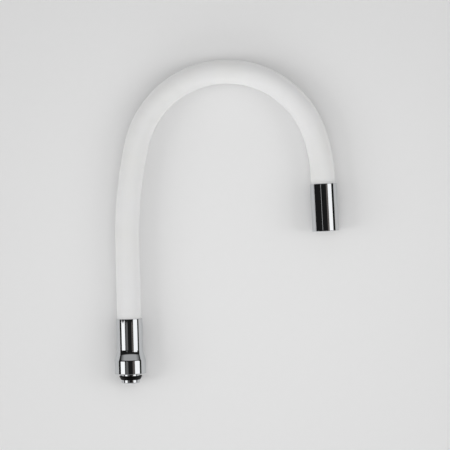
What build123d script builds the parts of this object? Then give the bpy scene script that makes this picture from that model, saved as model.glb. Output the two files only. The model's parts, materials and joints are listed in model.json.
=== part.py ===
from build123d import *
import os
from math import cos, floor, pi, radians, sin, sqrt

# A flexible tap spout. Sizes are in millimetres and turns in degrees.
# Z runs up the inlet's axis, the outlet hangs over +X, and the origin lies on the inlet's axis
# at the union nut's lower rim.

# Centreline of the neck, seen from the side: a rise, three arcs that run into one another, a run
RISE_ABOVE_NUT = 74.0
LEAN_RADIUS = 420.0
LEAN_TURN = 13.7
CROWN_RADIUS = 92.6
CROWN_TURN = 148.4
TIP_RADIUS = 149.0
TIP_TURN = 16.4
RUN_ABOVE_OUTLET = 8.5

# Where the neck bends: a first joint above the nut, then even steps along each stretch
JOINT_ABOVE_NUT = 9.0
SIDE_JOINTS = 2
LEAN_JOINTS = 4
CROWN_JOINTS = 12
TIP_JOINTS = 2

# Neck, from outside to inside: silicone hose, steel coil, water tube
HOSE_OD = 24.0
HOSE_WALL = 3.0
COIL_ROOM = 0.7
WIRE = 2.4
TURN_GAP = 0.5
JOINT_GAP = 3.0
TUBE_ROOM = 0.9
TUBE_WALL = 1.5

# Clearances: radial ones for fits and slides, axial ones for seats
RUNNING_FIT = 0.05
SLIDE_FIT = 0.1
COIL_FIT = 0.1
HOSE_ROOM = 0.3
WASHER_ROOM = 0.3
SEAT_GAP = 0.05
HOSE_SEAT_GAP = 0.1
TRAVEL_ROOM = 0.5

# Union nut: skirt, cone and neck outside; thread, relief, web and hose bore inside
NUT_WALL = 2.53
NUT_SKIRT = 13.7
NUT_CONE = 8.1
NUT_NECK_WALL = 0.85
NUT_HEIGHT = 55.0
NUT_RIM_CHAMFER = 0.6
NUT_EDGE_ROUND = 0.4
NUT_WEB = 2.5
NUT_TRAVEL = 11.0
THREAD_MAJOR_OD = 26.44
THREAD_DEPTH = 1.16
THREAD_LENGTH = 10.0
RELIEF_LENGTH = 2.0
RELIEF_DEPTH = 0.1

# Inlet spigot, and how far inside the nut's thread it stands
SPIGOT_ROOM = 2.81
SPIGOT_WALL = 2.75
NOSE = 9.5
NOSE_CHAMFER = 0.8
GROOVE_DEPTH = 0.85
BARB_BASE = 2.0

# Flange, socket and barb that hold the neck, alike at both ends
FLANGE_THICKNESS = 2.0
SOCKET_WALL = 1.6
SOCKET_LENGTH = 18.0
SOCKET_LEDGE = 0.8
CRIMP_ROOM = 10.0
BARB_WALL = 0.85
BARB_SHORT = 1.0
BARB_RINGS = 4
BARB_RING_DEPTH = 0.3
BARB_RING_WIDTH = 1.3
TUBE_LIFT = 1.0
FERRULE_WALL = 0.8
FERRULE_LIFT = 1.5
FERRULE_LENGTH = 7.5

# Seal ring below the nut: widest near its top and tapered to its foot
SEAL_RING_TOP = 2.1
SEAL_RING_HEIGHT = 3.8
SEAL_RING_LIP = 2.0
SEAL_RING_FOOT_LIP = 0.4
SEAL_RING_SHOULDER = 0.9
SEAL_RING_ROUND = 0.4

# Snap ring and slip washer between the spigot and the nut's web
SNAP_RING_LIP = 2.15
SNAP_RING_THICKNESS = 1.7
SNAP_RING_SPLIT = 4.0
SLIP_WASHER_LIP = 2.35
SLIP_WASHER_THICKNESS = 0.7

# Outlet sleeve, whose heights count from its rim up into the hose
OUTLET_WALL = 1.2
OUTLET_COVER = 2.5
OUTLET_EDGE_ROUND = 0.5
OUTLET_WEB = 4.0
CHAMBER_LEDGE = 1.45
CHAMBER_LENGTH = 9.1

# Outlet adapter, its seal and its lock nut
ADAPTER_STEM_WALL = 3.5
ADAPTER_STEM_LENGTH = 4.5
ADAPTER_SEAL_ROOM = 0.8
ADAPTER_SEAL_THICKNESS = 0.9
LOCK_NUT_ROOM = 0.3
LOCK_NUT_RING = 2.3
LOCK_NUT_THICKNESS = 3.0
LOCK_NUT_SLOTS = 4
LOCK_NUT_SLOT = 2.0

# Aerator: housing, washer, honeycomb insert, flow regulator and inlet screen
AERATOR_RIM_WALL = 1.45
AERATOR_RECESS = 1.0
AERATOR_WALL = 1.6
AERATOR_LIP = 1.2
AERATOR_LIP_WIDTH = 0.8
AERATOR_NOTCHES = 2
AERATOR_NOTCH = 3.0
AERATOR_NOTCH_DEPTH = 1.4
AERATOR_WASHER_RING = 2.75
AERATOR_WASHER_THICKNESS = 1.3
INSERT_WALL = 1.0
INSERT_FLOOR = 1.2
INSERT_HEIGHT = 4.2
HONEYCOMB_CELL = 2.2
HONEYCOMB_PITCH = 2.7
HONEYCOMB_SPARE = 3
REGULATOR_THICKNESS = 1.8
REGULATOR_HOLES = 10
REGULATOR_HOLE = 1.4
REGULATOR_HOLE_MARGIN = 3.85
REGULATOR_BOSS_MARGIN = 6.35
REGULATOR_BOSS_HEIGHT = 0.5
SCREEN_THICKNESS = 0.6
SCREEN_HOLE = 1.0
SCREEN_PITCH = 1.6
SCREEN_EDGE = 1.2

# Worked out from the sizes above: diameters
HOSE_BORE = HOSE_OD - 2 * HOSE_WALL
COIL_OD = HOSE_BORE - 2 * COIL_ROOM
COIL_RADIUS = (COIL_OD - WIRE) / 2
TUBE_OD = COIL_OD - 2 * (WIRE + TUBE_ROOM)
TUBE_ID = TUBE_OD - 2 * TUBE_WALL
SOCKET_BORE = COIL_OD + 2 * COIL_FIT
SOCKET_OD = SOCKET_BORE + 2 * SOCKET_WALL
CRIMP_BORE = SOCKET_BORE - 2 * SOCKET_LEDGE
COUNTERBORE = SOCKET_OD + 2 * RUNNING_FIT
BARB_OD = TUBE_ID - 2 * RUNNING_FIT
BARB_BORE = BARB_OD - 2 * BARB_WALL
FLANGE_OD = HOSE_OD - 2 * SLIDE_FIT
NUT_BORE = HOSE_OD + 2 * HOSE_ROOM
NUT_NECK_OD = NUT_BORE + 2 * NUT_NECK_WALL
NUT_OD = THREAD_MAJOR_OD + 2 * NUT_WALL
THREAD_MINOR_OD = THREAD_MAJOR_OD - 2 * THREAD_DEPTH
RELIEF_OD = THREAD_MAJOR_OD + 2 * RELIEF_DEPTH
SPIGOT_OD = THREAD_MINOR_OD - 2 * SPIGOT_ROOM
SPIGOT_BORE = SPIGOT_OD - 2 * SPIGOT_WALL
GROOVE_OD = SPIGOT_OD - 2 * GROOVE_DEPTH
WEB_BORE = SPIGOT_OD + 2 * SLIDE_FIT
SEAL_RING_OD = SPIGOT_OD + 2 * SEAL_RING_LIP
SEAL_RING_FOOT_OD = SPIGOT_OD + 2 * SEAL_RING_FOOT_LIP
SNAP_RING_OD = SPIGOT_OD + 2 * SNAP_RING_LIP
SLIP_WASHER_OD = SPIGOT_OD + 2 * SLIP_WASHER_LIP
OUTLET_OD = NUT_BORE + 2 * OUTLET_WALL
AERATOR_BORE = OUTLET_OD - 2 * AERATOR_RIM_WALL
AERATOR_THREAD_OD = AERATOR_BORE - 2 * RUNNING_FIT
AERATOR_ID = AERATOR_THREAD_OD - 2 * AERATOR_WALL
AERATOR_LIP_BORE = AERATOR_ID - 2 * AERATOR_LIP_WIDTH
AERATOR_WASHER_OD = AERATOR_BORE - 2 * WASHER_ROOM
AERATOR_WASHER_ID = AERATOR_WASHER_OD - 2 * AERATOR_WASHER_RING
INSERT_OD = AERATOR_ID - 2 * RUNNING_FIT
REGULATOR_HOLE_CIRCLE = INSERT_OD - 2 * REGULATOR_HOLE_MARGIN
REGULATOR_BOSS_OD = INSERT_OD - 2 * REGULATOR_BOSS_MARGIN
CHAMBER_OD = AERATOR_BORE - 2 * CHAMBER_LEDGE
LOCK_NUT_OD = CHAMBER_OD - 2 * LOCK_NUT_ROOM
ADAPTER_STEM_OD = LOCK_NUT_OD - 2 * LOCK_NUT_RING
ADAPTER_STEM_BORE = ADAPTER_STEM_OD - 2 * ADAPTER_STEM_WALL
ADAPTER_SEAL_OD = NUT_BORE - 2 * ADAPTER_SEAL_ROOM
OUTLET_WEB_BORE = ADAPTER_STEM_OD + 2 * SLIDE_FIT

# Heights at the inlet, up from the nut's rim
WEB_FOOT = THREAD_LENGTH + RELIEF_LENGTH
WEB_TOP = WEB_FOOT + NUT_WEB
WASHER_FOOT = WEB_FOOT - SEAT_GAP - SLIP_WASHER_THICKNESS
SNAP_RING_FOOT = WASHER_FOOT - SEAT_GAP - SNAP_RING_THICKNESS
SEAL_RING_FOOT = -SEAL_RING_TOP - SEAL_RING_HEIGHT
INLET_FLANGE = WEB_TOP + NUT_TRAVEL + TRAVEL_ROOM
FIRST_JOINT = NUT_HEIGHT + NUT_TRAVEL + JOINT_ABOVE_NUT
RISE = NUT_HEIGHT + RISE_ABOVE_NUT

# Heights at the outlet, up from its rim
INSERT_FOOT = AERATOR_RECESS + AERATOR_LIP + SEAT_GAP
REGULATOR_FOOT = INSERT_FOOT + INSERT_HEIGHT + SEAT_GAP
SCREEN_FOOT = REGULATOR_FOOT + REGULATOR_THICKNESS + REGULATOR_BOSS_HEIGHT + SEAT_GAP
AERATOR_TOP = SCREEN_FOOT + SCREEN_THICKNESS + SEAT_GAP
AERATOR_SEAT = AERATOR_TOP + AERATOR_WASHER_THICKNESS + 2 * SEAT_GAP
OUTLET_WEB_FOOT = AERATOR_SEAT + CHAMBER_LENGTH
OUTLET_WEB_TOP = OUTLET_WEB_FOOT + OUTLET_WEB
LOCK_NUT_FOOT = OUTLET_WEB_FOOT - SEAT_GAP - LOCK_NUT_THICKNESS
OUTLET_FLANGE = OUTLET_WEB_TOP + ADAPTER_SEAL_THICKNESS + 2 * SEAT_GAP
OUTLET_LENGTH = OUTLET_FLANGE + FLANGE_THICKNESS + SOCKET_LENGTH + OUTLET_COVER
RUN = OUTLET_LENGTH + RUN_ABOVE_OUTLET

# Patterns, with as many holes as the discs have room for
HONEYCOMB_REACH = INSERT_OD / 2 - INSERT_WALL - HONEYCOMB_CELL / 2
HONEYCOMB_ACROSS = 2 * floor(HONEYCOMB_REACH / HONEYCOMB_PITCH) + HONEYCOMB_SPARE
SCREEN_REACH = INSERT_OD / 2 - SCREEN_EDGE - SCREEN_HOLE / 2
SCREEN_ACROSS = 2 * floor(SCREEN_REACH / SCREEN_PITCH) + 1


def stretches():
    """Length and turn of each stretch of the centreline, from the inlet to the outlet."""
    arcs = [(LEAN_RADIUS, LEAN_TURN), (CROWN_RADIUS, CROWN_TURN), (TIP_RADIUS, TIP_TURN)]
    bends = [(radius * radians(turn), radians(turn)) for radius, turn in arcs]
    return [(RISE, 0.0), *bends, (RUN, 0.0)]


def route_at(distance):
    """Place and direction of the centreline, a distance along it from the nut's rim."""
    x, z, heading = 0.0, 0.0, 0.0
    for length, turn in stretches():
        step = min(distance, length)
        if turn:
            radius = length / turn
            swept = heading + step / radius
            x += radius * (cos(heading) - cos(swept))
            z += radius * (sin(swept) - sin(heading))
            heading = swept
        else:
            x += step * sin(heading)
            z += step * cos(heading)
        distance -= step
    return Vector(x, 0, z), Vector(sin(heading), 0, cos(heading))


def evenly(start, length, count):
    """Starts of a number of equal steps along a stretch."""
    return [start + length * step / count for step in range(count)]


def neck_joints():
    """Distance along the centreline of each joint of the neck, from the inlet to the outlet."""
    lean, crown, tip = (length for length, turn in stretches()[1:4])
    return [
        *evenly(FIRST_JOINT, RISE - FIRST_JOINT, SIDE_JOINTS),
        *evenly(RISE, lean, LEAN_JOINTS),
        *evenly(RISE + lean, crown, CROWN_JOINTS),
        *evenly(RISE + lean + crown, tip, TIP_JOINTS),
        RISE + lean + crown + tip,
    ]


def standing_on(place, up):
    """A plane at a place, with its Z along the given direction and its Y across the spout."""
    return Plane(origin=place, x_dir=Vector(0, 1, 0).cross(up), z_dir=up)


ROUTE_LENGTH = sum(length for length, turn in stretches())
INLET = Plane.XY
outlet_place, outlet_heading = route_at(ROUTE_LENGTH)
OUTLET = standing_on(outlet_place, -outlet_heading)


def revolved(base, outline, mode=Mode.ADD):
    """Revolve an outline of (radius, height) points about a plane's own axis."""
    side = Plane(origin=base.origin, x_dir=base.x_dir, z_dir=base.x_dir.cross(base.z_dir))
    with BuildSketch(side) as profile:
        with BuildLine():
            Polyline(*outline, close=True)
        make_face()
    return revolve(profile.sketch, axis=Axis(base.origin, base.z_dir), mode=mode)


def ring(base, foot, thickness, outer, inner):
    """A flat ring of two diameters, standing at a height on a plane."""
    top = foot + thickness
    sides = [(inner / 2, foot), (outer / 2, foot), (outer / 2, top), (inner / 2, top)]
    return revolved(base, sides)


def barb_outline(foot, top):
    """A hose barb from its foot up: each ring steps out and tapers in towards the tip."""
    crest = BARB_OD / 2
    valley = crest - BARB_RING_DEPTH
    first = top - BARB_RINGS * BARB_RING_WIDTH
    points = [(valley, foot)]
    for number in range(BARB_RINGS):
        step = first + number * BARB_RING_WIDTH
        points += [(valley, step), (crest, step)]
    return [*points, (valley, top), (BARB_BORE / 2, top)]


def hose_end_outline(flange_foot):
    """The flange, socket and barb that an end of the neck is held by, from outside to inside."""
    flange_top = flange_foot + FLANGE_THICKNESS
    mouth = flange_top + SOCKET_LENGTH
    ledge = flange_top + CRIMP_ROOM
    return [
        (FLANGE_OD / 2, flange_foot),
        (FLANGE_OD / 2, flange_top),
        (SOCKET_OD / 2, flange_top),
        (SOCKET_OD / 2, mouth),
        (SOCKET_BORE / 2, mouth),
        (SOCKET_BORE / 2, ledge),
        (CRIMP_BORE / 2, ledge),
        (CRIMP_BORE / 2, flange_top),
        *barb_outline(flange_top, ledge - BARB_SHORT),
    ]


def save(piece, label):
    """Name a finished piece and write it to its own file."""
    piece.part.label = label
    export_step(piece.part, f"parts/{label}.step")


os.makedirs("parts", exist_ok=True)

# Union nut: a bell turned from one bar, with an inner web that bears on the slip washer
with BuildPart() as union_nut:
    revolved(
        INLET,
        [
            (THREAD_MAJOR_OD / 2, 0),
            (NUT_OD / 2 - NUT_RIM_CHAMFER, 0),
            (NUT_OD / 2, NUT_RIM_CHAMFER),
            (NUT_OD / 2, NUT_SKIRT),
            (NUT_NECK_OD / 2, NUT_SKIRT + NUT_CONE),
            (NUT_NECK_OD / 2, NUT_HEIGHT),
            (NUT_BORE / 2, NUT_HEIGHT),
            (NUT_BORE / 2, WEB_TOP),
            (WEB_BORE / 2, WEB_TOP),
            (WEB_BORE / 2, WEB_FOOT),
            (RELIEF_OD / 2, WEB_FOOT),
            (RELIEF_OD / 2, THREAD_LENGTH),
            (THREAD_MINOR_OD / 2, THREAD_LENGTH),
            (THREAD_MINOR_OD / 2, (THREAD_MAJOR_OD - THREAD_MINOR_OD) / 2),
        ],
    )
    top_edges = union_nut.edges().filter_by(GeomType.CIRCLE).group_by(Axis.Z)[-1]
    fillet(top_edges.sort_by(SortBy.RADIUS)[-1], NUT_EDGE_ROUND)
save(union_nut, "union_nut")

# Slip washer under the nut's web
with BuildPart() as slip_washer:
    ring(INLET, WASHER_FOOT, SLIP_WASHER_THICKNESS, SLIP_WASHER_OD, WEB_BORE)
save(slip_washer, "slip_washer")

# Snap ring in the spigot's groove, split so that it can be sprung open
with BuildPart() as snap_ring:
    ring(INLET, SNAP_RING_FOOT, SNAP_RING_THICKNESS, SNAP_RING_OD, GROOVE_OD + 2 * SEAT_GAP)
    with BuildSketch(INLET.offset(SNAP_RING_FOOT)):
        Rectangle(SNAP_RING_OD, SNAP_RING_SPLIT, align=(Align.MIN, Align.CENTER))
    extrude(amount=SNAP_RING_THICKNESS, mode=Mode.SUBTRACT)
save(snap_ring, "snap_ring")

# Seal ring on the spigot, just below the nut
with BuildPart() as seal_ring:
    revolved(
        INLET,
        [
            (GROOVE_OD / 2 + SEAT_GAP, SEAL_RING_FOOT),
            (SEAL_RING_FOOT_OD / 2, SEAL_RING_FOOT),
            (SEAL_RING_OD / 2, -SEAL_RING_TOP - SEAL_RING_SHOULDER),
            (SEAL_RING_OD / 2, -SEAL_RING_TOP - SEAL_RING_ROUND),
            (SEAL_RING_OD / 2 - SEAL_RING_ROUND, -SEAL_RING_TOP),
            (GROOVE_OD / 2 + SEAT_GAP, -SEAL_RING_TOP),
        ],
    )
save(seal_ring, "seal_ring")

# Inlet spigot: nose, two grooves, plain stem on which the nut slides, and the neck's lower end
with BuildPart() as inlet_spigot:
    revolved(
        INLET,
        [
            (SPIGOT_BORE / 2, -NOSE),
            (SPIGOT_OD / 2 - NOSE_CHAMFER, -NOSE),
            (SPIGOT_OD / 2, NOSE_CHAMFER - NOSE),
            (SPIGOT_OD / 2, SEAL_RING_FOOT - SEAT_GAP),
            (GROOVE_OD / 2, SEAL_RING_FOOT - SEAT_GAP),
            (GROOVE_OD / 2, SEAT_GAP - SEAL_RING_TOP),
            (SPIGOT_OD / 2, SEAT_GAP - SEAL_RING_TOP),
            (SPIGOT_OD / 2, SNAP_RING_FOOT - SEAT_GAP),
            (GROOVE_OD / 2, SNAP_RING_FOOT - SEAT_GAP),
            (GROOVE_OD / 2, WASHER_FOOT),
            (SPIGOT_OD / 2, WASHER_FOOT),
            (SPIGOT_OD / 2, INLET_FLANGE),
            *hose_end_outline(INLET_FLANGE),
            (BARB_BORE / 2, INLET_FLANGE - BARB_BASE),
            (SPIGOT_BORE / 2, INLET_FLANGE - BARB_BASE),
        ],
    )
save(inlet_spigot, "inlet_spigot")

# Crimped ferrules that hold the water tube on its two barbs
for label, base, flange_foot in [
    ("base_ferrule", INLET, INLET_FLANGE),
    ("outlet_ferrule", OUTLET, OUTLET_FLANGE),
]:
    with BuildPart() as ferrule:
        ring(
            base,
            flange_foot + FLANGE_THICKNESS + FERRULE_LIFT,
            FERRULE_LENGTH,
            TUBE_OD + 2 * (RUNNING_FIT + FERRULE_WALL),
            TUBE_OD + 2 * RUNNING_FIT,
        )
    save(ferrule, label)


def neck_tube(outer, inner, lift):
    """A tube along the centreline, from a lift above the one flange to the same at the other."""
    foot = INLET_FLANGE + FLANGE_THICKNESS + lift
    tip = OUTLET_FLANGE + FLANGE_THICKNESS + lift
    with BuildLine(Plane.XZ) as centreline:
        piece = Line((0, foot), (0, RISE))
        for length, turn in stretches()[1:4]:
            end, along = piece @ 1, piece % 1
            piece = JernArc((end.X, end.Z), (along.X, along.Z), length / turn, -turn * 180 / pi)
        end = piece @ 1
        last = end + (piece % 1) * (RUN - tip)
        Line((end.X, end.Z), (last.X, last.Z))
    with BuildSketch(INLET.offset(foot)) as section:
        Circle(outer / 2)
        Circle(inner / 2, mode=Mode.SUBTRACT)
    return sweep(section.sketch, path=centreline.line)


# Silicone hose, bored out at both ends to go over the sockets
with BuildPart() as silicone_sleeve:
    neck_tube(HOSE_OD, HOSE_BORE, HOSE_SEAT_GAP)
    for base, flange_foot in [(INLET, INLET_FLANGE), (OUTLET, OUTLET_FLANGE)]:
        with BuildSketch(base.offset(flange_foot + FLANGE_THICKNESS)):
            Circle(COUNTERBORE / 2)
        extrude(amount=SOCKET_LENGTH + HOSE_SEAT_GAP, mode=Mode.SUBTRACT)
save(silicone_sleeve, "silicone_sleeve")

# Water tube, pushed over the barbs inside the coil
with BuildPart() as water_tube:
    neck_tube(TUBE_OD, TUBE_ID, TUBE_LIFT)
save(water_tube, "water_tube")


def coil_length(base, length):
    """Round wire wound about a plane's axis, as a chain of half turns that each tilt a little."""
    half_turns = floor((length - WIRE) / ((WIRE + TURN_GAP) / 2))
    climb = (length - WIRE) / half_turns
    reach = sqrt(COIL_RADIUS**2 + (climb / 2) ** 2)
    with BuildLine(base) as winding:
        arcs = []
        for number in range(half_turns):
            side = 1 if number % 2 == 0 else -1
            low = WIRE / 2 + number * climb
            start = (side * COIL_RADIUS, 0, low)
            middle = (0, side * reach, low + climb / 2)
            finish = (-side * COIL_RADIUS, 0, low + climb)
            arcs.append(ThreePointArc(start, middle, finish))
    with BuildSketch(Plane(arcs[0] @ 0, z_dir=arcs[0] % 0)) as section:
        Circle(WIRE / 2)
    return sweep(section.sketch, path=winding.line), climb * 2


# Gooseneck coil, in a length between each two joints, straight from the one to the other
joints = [route_at(distance)[0] for distance in neck_joints()]
coil_foot = INLET.from_local_coords((0, 0, INLET_FLANGE + FLANGE_THICKNESS + CRIMP_ROOM))
coil_tip = OUTLET.from_local_coords((0, 0, OUTLET_FLANGE + FLANGE_THICKNESS + CRIMP_ROOM))
coil_ends = [coil_foot, *joints, coil_tip]
for number, (start, finish) in enumerate(zip(coil_ends, coil_ends[1:])):
    along = (finish - start).normalized()
    first_gap = JOINT_GAP / 2 if number > 0 else SEAT_GAP
    last_gap = JOINT_GAP / 2 if number < len(joints) else SEAT_GAP
    length = (finish - start).length - first_gap - last_gap
    with BuildPart() as coil:
        wound, pitch = coil_length(standing_on(start + along * first_gap, along), length)
    print(f"coil {number:02d}: length {length:.2f}, least gap to itself {pitch - WIRE:.2f}")
    save(coil, f"coil_{number:02d}")

# Outlet sleeve: a plain tube with a web that the adapter is drawn to
with BuildPart() as outlet_sleeve:
    revolved(
        OUTLET,
        [
            (AERATOR_BORE / 2, 0),
            (OUTLET_OD / 2, 0),
            (OUTLET_OD / 2, OUTLET_LENGTH),
            (NUT_BORE / 2, OUTLET_LENGTH),
            (NUT_BORE / 2, OUTLET_WEB_TOP),
            (OUTLET_WEB_BORE / 2, OUTLET_WEB_TOP),
            (OUTLET_WEB_BORE / 2, OUTLET_WEB_FOOT),
            (CHAMBER_OD / 2, OUTLET_WEB_FOOT),
            (CHAMBER_OD / 2, AERATOR_SEAT),
            (AERATOR_BORE / 2, AERATOR_SEAT),
        ],
    )
    rims = outlet_sleeve.edges().filter_by(GeomType.CIRCLE).group_by(SortBy.RADIUS)[-1]
    fillet(rims, OUTLET_EDGE_ROUND)
save(outlet_sleeve, "outlet_sleeve")

# Outlet adapter: a threaded stem through the sleeve's web, and the neck's upper end
with BuildPart() as outlet_adapter:
    revolved(
        OUTLET,
        [
            (ADAPTER_STEM_BORE / 2, OUTLET_WEB_FOOT - ADAPTER_STEM_LENGTH),
            (ADAPTER_STEM_OD / 2, OUTLET_WEB_FOOT - ADAPTER_STEM_LENGTH),
            (ADAPTER_STEM_OD / 2, OUTLET_FLANGE),
            *hose_end_outline(OUTLET_FLANGE),
            (BARB_BORE / 2, OUTLET_FLANGE),
            (ADAPTER_STEM_BORE / 2, OUTLET_FLANGE),
        ],
    )
save(outlet_adapter, "outlet_adapter")

# Flat seal between the sleeve's web and the adapter's flange
with BuildPart() as adapter_seal:
    ring(
        OUTLET,
        OUTLET_WEB_TOP + SEAT_GAP,
        ADAPTER_SEAL_THICKNESS,
        ADAPTER_SEAL_OD,
        ADAPTER_STEM_OD + 2 * SLIDE_FIT,
    )
save(adapter_seal, "adapter_seal")

# Lock nut on the adapter's stem, slotted across its foot for a key
with BuildPart() as lock_nut:
    ring(
        OUTLET,
        LOCK_NUT_FOOT,
        LOCK_NUT_THICKNESS,
        LOCK_NUT_OD,
        ADAPTER_STEM_OD + 2 * RUNNING_FIT,
    )
    with BuildSketch(OUTLET.offset(LOCK_NUT_FOOT)):
        with PolarLocations(0, LOCK_NUT_SLOTS):
            Rectangle(LOCK_NUT_OD, LOCK_NUT_SLOT, align=(Align.MIN, Align.CENTER))
    extrude(amount=LOCK_NUT_THICKNESS / 2, mode=Mode.SUBTRACT)
save(lock_nut, "lock_nut")

# Aerator housing, screwed into the outlet sleeve, with notches in its lip for a key
with BuildPart() as aerator_housing:
    revolved(
        OUTLET,
        [
            (AERATOR_LIP_BORE / 2, AERATOR_RECESS),
            (AERATOR_THREAD_OD / 2, AERATOR_RECESS),
            (AERATOR_THREAD_OD / 2, AERATOR_TOP),
            (AERATOR_ID / 2, AERATOR_TOP),
            (AERATOR_ID / 2, AERATOR_RECESS + AERATOR_LIP),
            (AERATOR_LIP_BORE / 2, AERATOR_RECESS + AERATOR_LIP),
        ],
    )
    with BuildSketch(OUTLET.offset(AERATOR_RECESS)):
        with PolarLocations(0, AERATOR_NOTCHES):
            Rectangle(AERATOR_THREAD_OD, AERATOR_NOTCH, align=(Align.MIN, Align.CENTER))
        Circle(AERATOR_LIP_BORE / 2 - SLIDE_FIT, mode=Mode.SUBTRACT)
    extrude(amount=AERATOR_NOTCH_DEPTH, mode=Mode.SUBTRACT)
save(aerator_housing, "aerator_housing")

# Washer between the aerator's housing and its seat in the sleeve
with BuildPart() as aerator_washer:
    ring(OUTLET, AERATOR_TOP + SEAT_GAP, AERATOR_WASHER_THICKNESS, AERATOR_WASHER_OD, AERATOR_WASHER_ID)
save(aerator_washer, "aerator_washer")

# Aerator insert: a cup whose floor is a honeycomb
with BuildPart() as aerator_insert:
    ring(OUTLET, INSERT_FOOT, INSERT_HEIGHT, INSERT_OD, INSERT_OD - 2 * INSERT_WALL)
    with BuildSketch(OUTLET.offset(INSERT_FOOT)):
        Circle(INSERT_OD / 2 - INSERT_WALL)
        with HexLocations(HONEYCOMB_PITCH / 2, HONEYCOMB_ACROSS, HONEYCOMB_ACROSS) as grid:
            cells = [cell for cell in grid.local_locations if cell.position.length < HONEYCOMB_REACH]
        with Locations(*cells):
            RegularPolygon(HONEYCOMB_CELL / 2, 6, major_radius=False, mode=Mode.SUBTRACT)
    extrude(amount=INSERT_FLOOR)
save(aerator_insert, "aerator_insert")

# Flow regulator: a disc with a ring of holes and a boss
with BuildPart() as flow_regulator:
    with BuildSketch(OUTLET.offset(REGULATOR_FOOT)):
        Circle(INSERT_OD / 2)
        with PolarLocations(REGULATOR_HOLE_CIRCLE / 2, REGULATOR_HOLES):
            Circle(REGULATOR_HOLE / 2, mode=Mode.SUBTRACT)
    extrude(amount=REGULATOR_THICKNESS)
    with BuildSketch(OUTLET.offset(REGULATOR_FOOT + REGULATOR_THICKNESS)):
        Circle(REGULATOR_BOSS_OD / 2)
    extrude(amount=REGULATOR_BOSS_HEIGHT)
save(flow_regulator, "flow_regulator")

# Inlet screen: a thin pierced disc that keeps grit out
with BuildPart() as inlet_screen:
    with BuildSketch(OUTLET.offset(SCREEN_FOOT)):
        Circle(INSERT_OD / 2)
        with GridLocations(SCREEN_PITCH, SCREEN_PITCH, SCREEN_ACROSS, SCREEN_ACROSS) as mesh:
            holes = [place for place in mesh.local_locations if place.position.length < SCREEN_REACH]
        with Locations(*holes):
            Circle(SCREEN_HOLE / 2, mode=Mode.SUBTRACT)
    extrude(amount=SCREEN_THICKNESS)
save(inlet_screen, "inlet_screen")

print(f"centreline {ROUTE_LENGTH:.1f} long, outlet at {OUTLET.origin}, {len(joints)} neck joints")
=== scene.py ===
import json
from math import ceil, cos, pi, radians, sin, tan

import bpy
import numpy as np
from bpy.props import FloatProperty, FloatVectorProperty, IntProperty, PointerProperty
from bpy.types import Operator, Panel, PropertyGroup
from mathutils import Matrix, Vector

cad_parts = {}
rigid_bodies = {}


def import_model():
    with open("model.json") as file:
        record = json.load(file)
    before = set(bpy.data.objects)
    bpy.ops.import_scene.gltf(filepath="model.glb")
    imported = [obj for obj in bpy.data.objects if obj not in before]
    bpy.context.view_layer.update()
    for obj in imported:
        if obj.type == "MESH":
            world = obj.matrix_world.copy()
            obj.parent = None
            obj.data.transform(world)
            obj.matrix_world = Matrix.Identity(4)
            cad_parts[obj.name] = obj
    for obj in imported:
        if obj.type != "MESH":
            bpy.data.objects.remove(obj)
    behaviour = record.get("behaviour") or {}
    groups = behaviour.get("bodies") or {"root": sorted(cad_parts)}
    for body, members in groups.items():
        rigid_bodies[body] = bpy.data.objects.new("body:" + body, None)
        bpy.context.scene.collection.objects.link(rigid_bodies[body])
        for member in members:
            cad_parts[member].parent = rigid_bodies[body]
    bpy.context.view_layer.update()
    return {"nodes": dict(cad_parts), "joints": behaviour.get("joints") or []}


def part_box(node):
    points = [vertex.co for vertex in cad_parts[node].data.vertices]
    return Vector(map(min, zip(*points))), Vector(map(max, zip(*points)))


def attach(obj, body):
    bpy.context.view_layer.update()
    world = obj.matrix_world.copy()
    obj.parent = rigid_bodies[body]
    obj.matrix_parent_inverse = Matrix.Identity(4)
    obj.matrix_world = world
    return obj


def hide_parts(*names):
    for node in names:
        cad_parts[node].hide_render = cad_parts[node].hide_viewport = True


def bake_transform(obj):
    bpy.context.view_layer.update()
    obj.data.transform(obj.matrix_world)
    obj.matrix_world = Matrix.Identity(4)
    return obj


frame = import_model()

bl_info = {
    "name": "Flexible tap spout",
    "version": (1, 0, 0),
    "blender": (4, 5, 0),
    "location": "3D View > Sidebar > Tap spout",
    "description": "Dresses the packed model of a flexible tap spout with smooth surfaces and finishes",
    "category": "Add Mesh",
}

MM = 0.001
ARC_STEP = radians(9)
NUT_THREAD_STEP = 0.16 * MM
SLEEVE_THREAD_STEP = 0.12 * MM
INLET_UP = Vector((0, 0, 1))
JOINTS = {joint["name"]: joint for joint in frame["joints"]}
NECK_JOINTS = [joint for joint in frame["joints"] if "_bend" in joint["name"]]
OUTLET_RIM = Vector(JOINTS["aerator_turn"]["pos_m"])
OUTLET_UP = -Vector(JOINTS["aerator_turn"]["axis"])


def linear(code):
    """An sRGB hex colour as linear red, green and blue."""
    parts = np.array([int(code[at : at + 2], 16) for at in (0, 2, 4)]) / 255
    return tuple(np.where(parts <= 0.04045, parts / 12.92, ((parts + 0.055) / 1.055) ** 2.4))


def across(node):
    """Diameter of a CAD node, read from its width across the spout."""
    return round(2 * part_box(node)[1].y, 5)


def along(node):
    """Lowest and highest height of a CAD node on the inlet's axis."""
    low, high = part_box(node)
    return round(low.z, 5), round(high.z, 5)


def length(name, description, default):
    """A length that a user can change, in metres."""
    return FloatProperty(
        name=name, description=description, default=default, unit="LENGTH", precision=5, step=0.01
    )


def angle(name, description, degrees):
    """An angle that a user can change."""
    return FloatProperty(
        name=name, description=description, default=radians(degrees), subtype="ANGLE", precision=4
    )


def colour(name, description, code):
    """A colour that a user can change, given as an sRGB hex value."""
    return FloatVectorProperty(
        name=name, description=description, default=linear(code), size=3, subtype="COLOR", min=0, max=1
    )


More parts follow.
